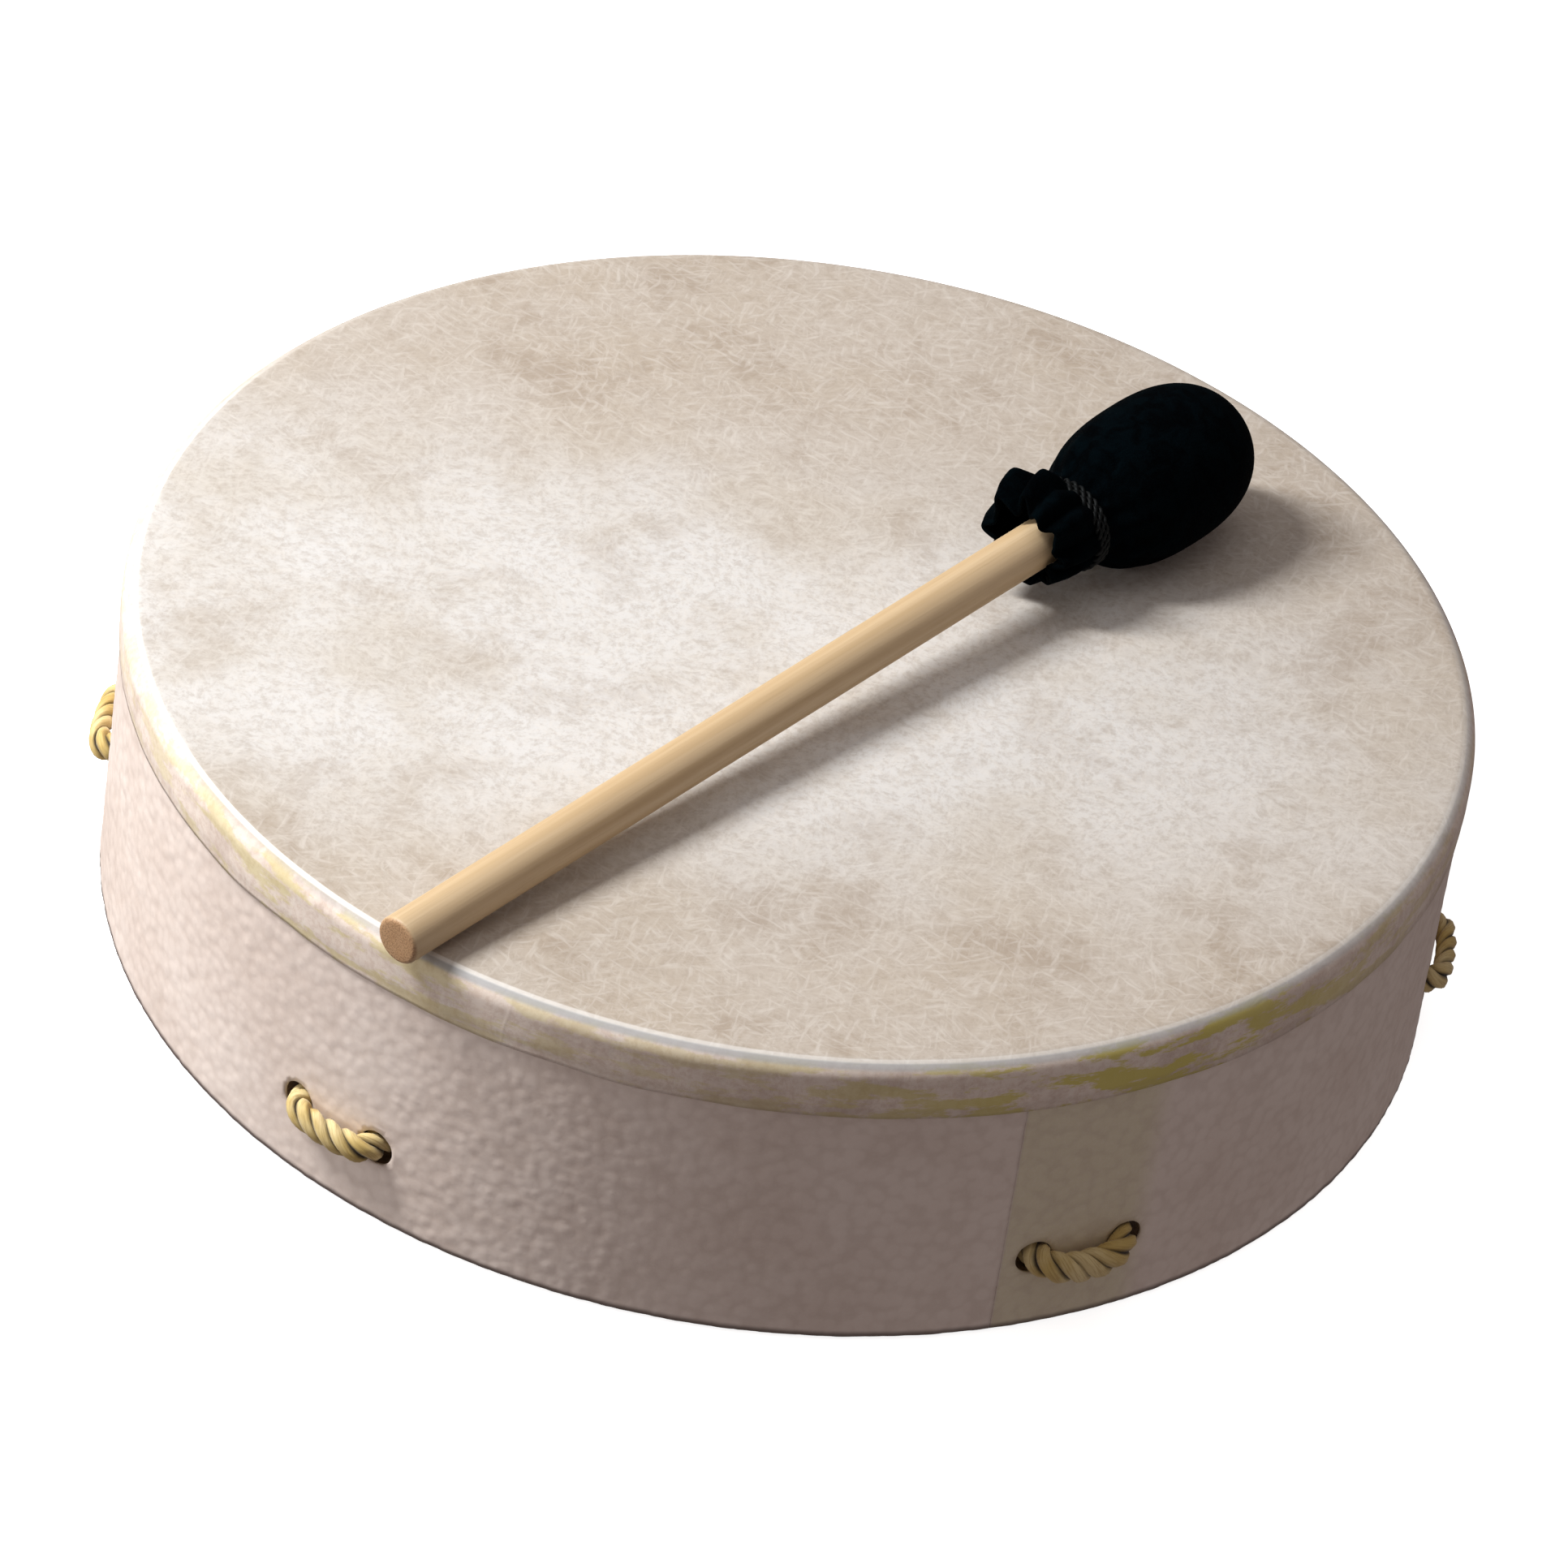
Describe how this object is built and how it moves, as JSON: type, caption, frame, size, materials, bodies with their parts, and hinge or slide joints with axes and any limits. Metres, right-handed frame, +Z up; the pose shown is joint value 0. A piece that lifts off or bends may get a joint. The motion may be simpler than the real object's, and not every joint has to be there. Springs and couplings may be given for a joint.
{
  "type": "frame drum",
  "caption": "Round single-headed frame drum with a textured shell, a laced rope handle inside, and a soft padded beater lying on the head.",
  "frame": {"origin": "centre of the open rim's plane, which the drum stands on", "axes": "+Z up through the playing face, +X and -Y in the rim's plane; the covering's upright seam is on the -Y side"},
  "size_m": [0.3698, 0.3556, 0.1313],
  "materials": {
    "hoop_fibre": "resin-bonded wood fibre, satin",
    "covering": "embossed pebbled sheet, satin",
    "glue": "dried adhesive",
    "head_film": "fibre-filled film like parchment, satin",
    "rope": "three-strand laid rope",
    "twine": "waxed twine",
    "handle_wood": "sanded pale hardwood",
    "padding": "felt padding",
    "fleece": "black fleece",
    "tie_cord": "black waxed cord"
  },
  "bodies": {
    "drum": {"shell_hoop": "hoop_fibre", "shell_covering": "covering", "collar_adhesive": "glue", "drumhead": "head_film", "rope_stitch_1": "rope", "rope_stitch_2": "rope", "rope_stitch_3": "rope", "rope_stitch_4": "rope", "rope_stitch_5": "rope", "rope_stitch_6": "rope", "rope_loop_1": "rope", "rope_loop_2": "rope", "rope_loop_3": "rope", "rope_loop_4": "rope", "rope_loop_5": "rope", "rope_loop_6": "rope", "grip_ring": "rope", "ring_binding": "twine", "rope_end_knot": "rope"},
    "beater": {"beater_handle": "handle_wood", "beater_core": "padding", "beater_cover": "fleece", "beater_tie": "tie_cord"}
  },
  "joints": [
    {"name": "beater_lift", "type": "slide", "parent": "drum", "child": "beater", "axis": [0, 0, 1], "range_m": [0, 0.15]}
  ]
}
